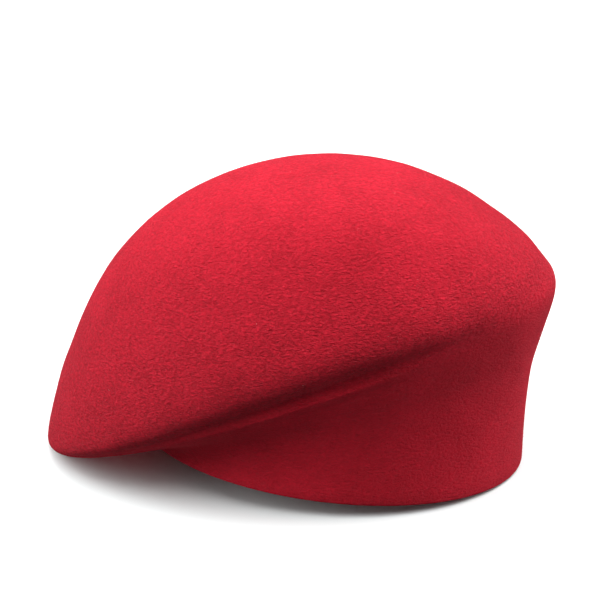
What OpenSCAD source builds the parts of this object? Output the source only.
// Felt beret with a folded crown and a drooping front peak.
// The felt is one blocked skin. Its shape is a smooth sheet drawn over nine tilted ovals,
// from the head opening up to the top of the crown. Everything else is sewn inside it.
//
// The hat is drawn level first: +X is the wearer's left, -Y is forward, and the rim lies
// at z = 0. resting() then tips it the few degrees that it leans when it is put down,
// on the tip of the peak and the back of the rim, and sets it down on z = 0 with the
// middle of its length over the origin.

/* [Head opening] */
// How far the rim reaches forward from the middle of the head
rim_front = 103; // [101:0.5:105]
// How far the rim reaches back
rim_back = 103; // [101:0.5:105]
// Half of the rim's width
rim_half = 83; // [81:0.5:85]
// Thickness of the felt
felt = 3; // [2.5:0.25:3.5]

/* [Band] */
// How far the band's waist reaches forward
waist_front = 108; // [106:0.5:110]
// How far the band's waist reaches back
waist_back = 99; // [97:0.5:101]
// Half of the waist's width
waist_half = 77; // [75.5:0.5:79]
// Height of the waist at the front
waist_height_front = 2.5; // [1.5:0.5:3.5]
// Height of the waist at the sides
waist_height_side = 30.5; // [28:0.5:33]
// Height of the waist at the back
waist_height_back = 48; // [45:0.5:51]

/* [Fold] */
// How far the fold's edge reaches forward: the tip of the peak
fold_front = 150.5; // [148.5:0.5:152.5]
// How far the fold's edge reaches back
fold_back = 110; // [108:0.5:112]
// Half of the fold's width
fold_half = 89.5; // [88:0.5:91]
// Height of the fold's edge at the front, where the peak droops below the rim
fold_height_front = -24.5; // [-26:0.5:-23]
// Height of the fold's edge at the sides
fold_height_side = 46; // [44:0.5:48]
// Height of the fold's edge at the back
fold_height_back = 103.5; // [101:0.5:106]
// How deep the crease above the fold's edge is pressed in
crease_depth = 5; // [3:0.5:6]

/* [Crown] */
// How far the crown's fullest oval reaches forward
belly_front = 154.5; // [153:0.5:156]
// How far the fullest oval reaches back
belly_back = 97.5; // [95.5:0.5:99.5]
// Half of the fullest oval's width
belly_half = 108; // [106:0.5:110]
// Height of the fullest oval at the front
belly_height_front = -17; // [-18:0.5:-15]
// Height of the fullest oval at the sides
belly_height_side = 62.5; // [60.5:0.5:64.5]
// Height of the fullest oval at the back
belly_height_back = 115; // [113:0.5:117]
// How far the crown's shoulder reaches forward
shoulder_front = 128; // [125:0.5:131]
// How far the shoulder reaches back
shoulder_back = 92.5; // [90:0.5:95]
// Half of the shoulder's width
shoulder_half = 75.5; // [73:0.5:78]
// Height of the shoulder at the front
shoulder_height_front = 112.5; // [110:0.5:115]
// Height of the shoulder at the sides
shoulder_height_side = 128.5; // [126:0.5:131]
// Height of the shoulder at the back
shoulder_height_back = 121; // [119:0.5:123]
// Height of the top of the crown above the rim
crown_height = 148; // [145:0.5:151]

/* [Sweatband] */
// Width of the ribbon
ribbon_width = 25; // [20:1:28]
// Thickness of the ribbon
ribbon = 0.8; // [0.6:0.1:1]
// Length of one hand stitch along the ribbon's lower edge
stitch_length = 5; // [3:0.5:6]
// Number of hand stitches around the ribbon
stitch_count = 60; // [40:4:72]

/* [Labels] */
// Width of the woven label on the ribbon
label_width = 46; // [36:1:50]
// Height of the woven label
label_height = 17; // [14:1:18]
// Width of the care label
care_width = 14; // [10:1:18]
// Length that the care label hangs down from the ribbon's top edge
care_length = 22; // [16:1:24]

/* [Size adjuster] */
// Length of the adjuster's tab from its sewn end to its free end
tab_length = 44; // [36:1:50]
// Height of the tab
tab_height = 18; // [14:1:20]

/* [Hidden] */

// Each oval's forward reach, backward reach and half width
rim_reach = [rim_front, rim_back, rim_half];
waist_reach = [waist_front, waist_back, waist_half];
fold_reach = [fold_front, fold_back, fold_half];
belly_reach = [belly_front, belly_back, belly_half];
shoulder_reach = [shoulder_front, shoulder_back, shoulder_half];

// Each oval's height at the front, the sides and the back
waist_height = [waist_height_front, waist_height_side, waist_height_back];
fold_height = [fold_height_front, fold_height_side, fold_height_back];
belly_height = [belly_height_front, belly_height_side, belly_height_back];
shoulder_height = [shoulder_height_front, shoulder_height_side, shoulder_height_back];

label_size = [label_width, label_height];

// Steps around the hat, and steps between one oval and the next
around = 48;
along = 4;

// The crease is shallow over the peak, full at the sides and fades out toward the back;
// the two pairs are angles from the front, in degrees
crease_front_share = 0.3;
crease_full_from = [20, 80];
crease_fades = [105, 150];

// Centre, slope and half lengths of the nearly flat oval at the top of the crown
top_centre = 6.5;
top_slope = -0.05;
top_reach = [46.5, 45.5];

// How far the felt's inner ovals stand off the outer ones, in felt thicknesses.
// Each pair is outward and upward, given at the front, side and back. The peak's front
// and underside are pressed nearly together at its tip, so the felt is thickest there.
rim_off = [[-1, -1, -1], [0, 0, 0]];
waist_off = [[0.6, -1, -1], [2, 0, 0]];
fold_off = [[-3, -1, -1], [3, 0, 0]];
belly_off = [[-1, -1, -1], [0.6, 0, -0.4]];
shoulder_off = [[-0.75, -0.7, -0.6], [-0.7, -0.7, -0.8]];

// ---- the hat's outline -------------------------------------------------------------

function mix(a, b, k) = a + (b - a) * k;
function ramp(range, x) =
    let(t = min(1, max(0, (x - range[0]) / (range[1] - range[0]))))
    t * t * (3 - 2 * t);

// A value that is v[0] at the front (0 degrees), v[1] at the sides and v[2] at the back
function around_value(v, a) =
    let(middle = (v[0] + v[2]) / 2)
    middle + (v[0] - v[2]) / 2 * cos(a) + (v[1] - middle) * pow(sin(a), 2);

// Angle from the front, folded onto 0 to 180 degrees
function from_front(a) = a > 180 ? 360 - a : a;

// The way out of an oval at angle a, level
function outward(reach, a) =
    let(n = [sin(a) / reach[2], -cos(a) / ((reach[0] + reach[1]) / 2), 0])
    n / norm(n);

// One point of a tilted oval; off is its stand-off pair and skin scales it
function oval(reach, height, a, off, skin) =
    [
        reach[2] * sin(a),
        -((reach[0] - reach[1]) / 2 + (reach[0] + reach[1]) / 2 * cos(a)),
        around_value(height, a) + skin * around_value(off[1], a)
    ] + outward(reach, a) * skin * around_value(off[0], a);

// The nine guide points at angle a; skin is 0 outside and the felt's thickness inside
function guides(a, skin) =
    let(
        f = from_front(a),
        side = 1 - ramp(crease_fades, f),
        press = side * mix(crease_front_share, 1, ramp(crease_full_from, f)),
        rim = oval(rim_reach, [0, 0, 0], a, rim_off, skin),
        waist = oval(waist_reach, waist_height, a, waist_off, skin),
        edge = oval(fold_reach, fold_height, a, fold_off, skin),
        belly = oval(belly_reach, belly_height, a, belly_off, skin),
        shoulder = oval(shoulder_reach, shoulder_height, a, shoulder_off, skin),
        under = mix(edge, waist, mix(0.45, 0.12, side)),
        crease = mix(edge, belly, mix(0.5, 0.3, side))
            - outward(fold_reach, a) * crease_depth * press,
        apex = [0, -top_centre, crown_height - skin],
        top = apex + [
            top_reach[1] * sin(a),
            -top_reach[0] * cos(a),
            top_slope * top_reach[0] * cos(a)
        ]
    )
    [rim, waist, under, edge, crease, belly, shoulder, top, apex];

// Cubic B-spline weights with the first and last guides touched (a clamped knot row)
spans = 6;
function knot(i) = min(spans, max(0, i - 3));
function share(i, k, t) = knot(i + k) == knot(i) ? 0 : (t - knot(i)) / (knot(i + k) - knot(i));
function weight(i, k, t) =
    k == 0
        ? ((t >= knot(i) && t < knot(i + 1)) || (t == spans && knot(i + 1) == spans
            && knot(i) < spans) ? 1 : 0)
        : share(i, k, t) * weight(i, k - 1, t)
            + (knot(i + k + 1) == knot(i + 1) ? 0 : 1 - share(i + 1, k, t))
                * weight(i + 1, k - 1, t);

rows = spans * along;
weights = [for (r = [0:rows]) [for (i = [0:8]) weight(i, 3, r / along)]];

// One row of the felt's surface: r counts from the rim (0) to the top of the crown (rows)
function felt_row(r, skin) =
    [for (s = [0:around - 1]) weights[r] * guides(360 * s / around, skin)];

// ---- solids from rows of points ----------------------------------------------------

// Two triangles for each square between row a and row b of a closed ring
function ring_faces(a, b, n) =
    [for (s = [0:n - 1])
        let(e = (s + 1) % n)
        for (tri = [[a + s, b + s, b + e], [a + s, b + e, a + e]]) tri];

// The resting hat stands on the lowest point of its front and the lowest point of its
// back, both on the middle line. rest_tip is the angle at which the two are level: each
// step of lean() halves the range of angles. rest_lift then sets the hat down on z = 0.
tip_rows = [for (a = [0, 180]) [for (r = [0:rows]) weights[r] * guides(a, 0)]];
function lowest(row, tip) = min([for (p = row) p[2] * cos(tip) - p[1] * sin(tip)]);
function lean(a, b, n) =
    let(m = (a + b) / 2)
    n == 0
        ? m
        : lowest(tip_rows[0], m) < lowest(tip_rows[1], m) ? lean(m, b, n - 1) : lean(a, m, n - 1);
most_tip = 15;
halvings = 30;
rest_tip = lean(0, most_tip, halvings);
rest_lift = -lowest(tip_rows[0], rest_tip);

// Where each point of a row lies from front to back once the hat rests
function reach_back(row) = [for (p = row) p[1] * cos(rest_tip) + p[2] * sin(rest_tip)];
rest_shift = -(min(reach_back(tip_rows[0])) + max(reach_back(tip_rows[1]))) / 2;

module resting() {
    translate([0, rest_shift, rest_lift]) rotate([-rest_tip, 0, 0]) children();
}

// ---- the ribbon's wall, which carries the labels and the adjuster -------------------

// The ribbon stands just inside the rim and leans in with the felt
ribbon_gap = 0.6;
ribbon_base = 2;
ribbon_lean = [2, 3.5, 5];
ribbon_low = rim_reach - [1, 1, 1] * (felt + ribbon_gap);
ribbon_high = ribbon_low - ribbon_lean;
ribbon_middle = ribbon_base + ribbon_width / 2;

// What is sewn on the ribbon sits this far off it and this far above its middle
sewn_gap = 0.1;
sewn_rise = 1;
sewn_face = ribbon + sewn_gap;
sewn_middle = ribbon_middle + sewn_rise;

// A point of the ribbon's wall at angle a, z above the rim and inset from its outer face
function wall(a, z, inset) =
    let(reach = mix(ribbon_low, ribbon_high, (z - ribbon_base) / ribbon_width))
    oval(reach, [z, z, z], a, [[-1, -1, -1], [0, 0, 0]], inset);

// Angle step at angle a that covers a length along the wall
function step_for(a, length) =
    length / norm(wall(a + 0.5, ribbon_base, 0) - wall(a - 0.5, ribbon_base, 0));

// Direction along the wall at angle a, in degrees about Z
function heading(a) =
    let(d = wall(a + 0.5, ribbon_base, 0) - wall(a - 0.5, ribbon_base, 0))
    atan2(d[1], d[0]);

// A curved strip of the wall between two angles, two heights and two insets
module strip(a0, a1, z0, z1, inset0, inset1, n = 12) {
    corners = [[z0, inset0], [z1, inset0], [z1, inset1], [z0, inset1]];
    points = [for (s = [0:n]) for (c = corners) wall(mix(a0, a1, s / n), c[0], c[1])];
    sides = [for (s = [0:n - 1]) for (f = ring_faces(4 * s, 4 * s + 4, 4)) f];
    caps = [[0, 1, 2], [0, 2, 3], [4 * n, 4 * n + 2, 4 * n + 1], [4 * n, 4 * n + 3, 4 * n + 2]];
    polyhedron(points, concat(sides, caps));
}

// One short stitch that lies along the wall, or up it, half sunk in what it holds
thread = 0.5;
module stitch(a, z, inset, length, upright = false) {
    translate(wall(a, z, inset))
        rotate([0, 0, heading(a)])
            rotate(upright ? [0, 0, 0] : [0, 90, 0])
                cylinder(h = length, d = thread, center = true, $fn = 8);
}

// A rectangle of stitches just inside the edges of a patch. The upright rows stop short
// of the level rows, so that no stitch meets another at a corner.
edge_margin = 1.2;
stitch_share = 0.6;
module stitch_frame(a, size, z, inset, pitch = 4) {
    across = floor((size[0] - 3) / pitch);
    for (s = [0:across], side = [-1, 1])
        stitch(a + step_for(a, (s - across / 2) * pitch),
            z + side * (size[1] / 2 - edge_margin), inset, pitch * stitch_share);
    up = floor((size[1] - 5) / pitch);
    for (s = [0:up], side = [-1, 1])
        stitch(a + step_for(a, side * (size[0] / 2 - edge_margin)),
            z + (s - up / 2) * pitch, inset, pitch * stitch_share, true);
}

// ---- pieces ------------------------------------------------------------------------

module felt_body() {
    outer = [for (r = [0:rows - 1]) each felt_row(r, 0)];
    inner = [for (r = [0:rows - 1]) each felt_row(r, felt)];
    skin_points = rows * around;
    tops = [weights[rows] * guides(0, 0), weights[rows] * guides(0, felt)];
    last = (rows - 1) * around;
    outer_faces = [for (r = [0:rows - 2]) each ring_faces(around * r, around * (r + 1), around)];
    inner_faces = [for (f = outer_faces) [f[0], f[2], f[1]] + [1, 1, 1] * skin_points];
    outer_cap = [for (s = [0:around - 1]) [last + s, 2 * skin_points, last + (s + 1) % around]];
    inner_cap = [for (s = [0:around - 1])
        [
            skin_points + last + (s + 1) % around,
            2 * skin_points + 1,
            skin_points + last + s
        ]];
    rim_faces = ring_faces(skin_points, 0, around);
    color([0.78, 0.10, 0.20]) resting()
        polyhedron(
            concat(outer, inner, tops),
            concat(outer_faces, inner_faces, outer_cap, inner_cap, rim_faces)
        );
}

// Bar tacks inside the felt, where the fold fades out on each side
tack_angle = 128;
tack_row = 10;
tack_length = 7;
tack_thread = 0.8;
module fold_tacks() {
    color([0.45, 0.05, 0.10]) resting()
        for (a = [tack_angle, 360 - tack_angle], s = [-1, 0, 1])
            let(
                here = weights[tack_row] * guides(a + s, felt),
                above = weights[tack_row + 1] * guides(a + s, felt),
                rise = above - here
            )
            translate(here)
                rotate([0, acos(rise[2] / norm(rise)), atan2(rise[1], rise[0])])
                    cylinder(h = tack_length, d = tack_thread, center = true, $fn = 8);
}

module sweatband() {
    n = 96;
    corners = [
        [ribbon_base, 0],
        [ribbon_base + ribbon_width, 0],
        [ribbon_base + ribbon_width, ribbon],
        [ribbon_base, ribbon]
    ];
    points = [for (s = [0:n - 1]) for (c = corners) wall(360 * s / n, c[0], c[1])];
    faces = [for (s = [0:n - 1], c = [0:3])
        let(e = 4 * ((s + 1) % n), d = (c + 1) % 4)
        for (tri = [[4 * s + c, e + c, e + d], [4 * s + c, e + d, 4 * s + d]]) tri];
    color([0.10, 0.09, 0.10]) resting() polyhedron(points, faces);
}

// The hand stitches run this far above the ribbon's lower edge
hem = 2;
module sweatband_stitches() {
    color([0.70, 0.12, 0.20]) resting()
        for (s = [0:stitch_count - 1])
            stitch(360 * (s + 0.5) / stitch_count, ribbon_base + hem, ribbon, stitch_length);
}

label_angle = 90;
label_thick = 0.5;
label_half = step_for(label_angle, label_width / 2);
module woven_label() {
    color([0.93, 0.90, 0.84]) resting()
        strip(
            label_angle - label_half, label_angle + label_half,
            sewn_middle - label_height / 2, sewn_middle + label_height / 2,
            sewn_face, sewn_face + label_thick
        );
}

module label_stitches() {
    color([0.85, 0.82, 0.76]) resting()
        stitch_frame(label_angle, label_size, sewn_middle, sewn_face + label_thick);
}

// The care label hangs straight down from a tack at the ribbon's top edge
care_angle = 248;
care_thick = 0.6;
care_gap = 0.6;
care_top = ribbon_base + ribbon_width - 3;
care_drop = 0.4;
care_tack = 2.4;
module care_frame() {
    resting()
        translate(wall(care_angle, care_top, ribbon + care_gap))
            rotate([0, 0, heading(care_angle)])
                children();
}

module care_label() {
    color([0.95, 0.95, 0.93]) care_frame()
        translate([-care_width / 2, 0, -care_length - care_drop])
            cube([care_width, care_thick, care_length]);
}

module care_label_tack() {
    color([0.95, 0.95, 0.93]) care_frame()
        translate([-care_width / 2, -care_gap, 0])
            cube([care_width, care_gap + care_thick, care_tack]);
}

// The adjuster: a hook patch on a tab that closes on a loop patch at the back
adjuster_back = 180;
anchor_length = 8;
anchor_gap = 0.4;
patch_thick = 0.9;
hook_gap = 0.3;
loop_face = sewn_face + patch_thick;
tab_inset = loop_face + hook_gap + patch_thick;
tab_thick = 0.8;
tab_start = adjuster_back - step_for(adjuster_back, tab_length / 2);
tab_end = adjuster_back + step_for(adjuster_back, tab_length / 2);
tab_low = sewn_middle - tab_height / 2;
tab_high = sewn_middle + tab_height / 2;

// The loop patch is longer than the tab at its free end, so the tab can be set tighter
// or looser; each patch is a little lower than the tab
loop_shift = [4, 6];
loop_margin = 1;
hook_shift = [8, -5];
hook_margin = 1.5;

module adjuster_loop() {
    color([0.16, 0.15, 0.16]) resting()
        strip(
            tab_start + step_for(tab_start, loop_shift[0]),
            tab_end + step_for(tab_end, loop_shift[1]),
            tab_low + loop_margin, tab_high - loop_margin, sewn_face, loop_face
        );
}

module adjuster_anchor() {
    color([0.10, 0.09, 0.10]) resting()
        strip(
            tab_start - step_for(tab_start, anchor_gap + anchor_length),
            tab_start - step_for(tab_start, anchor_gap),
            tab_low, tab_high, sewn_face, tab_inset + tab_thick, 4
        );
}

module adjuster_stitches() {
    color([0.22, 0.20, 0.22]) resting()
        stitch_frame(
            tab_start - step_for(tab_start, anchor_gap + anchor_length / 2),
            [anchor_length, tab_height], sewn_middle, tab_inset + tab_thick, 2.6
        );
}

module adjuster_tab() {
    color([0.10, 0.09, 0.10]) resting()
        strip(tab_start, tab_end, tab_low, tab_high, tab_inset, tab_inset + tab_thick);
}

module adjuster_hook() {
    color([0.20, 0.19, 0.20]) resting()
        strip(
            tab_start + step_for(tab_start, hook_shift[0]),
            tab_end + step_for(tab_end, hook_shift[1]),
            tab_low + hook_margin, tab_high - hook_margin, tab_inset - patch_thick, tab_inset
        );
}

felt_body();
fold_tacks();
sweatband();
sweatband_stitches();
woven_label();
label_stitches();
care_label();
care_label_tack();
adjuster_loop();
adjuster_anchor();
adjuster_stitches();
adjuster_tab();
adjuster_hook();
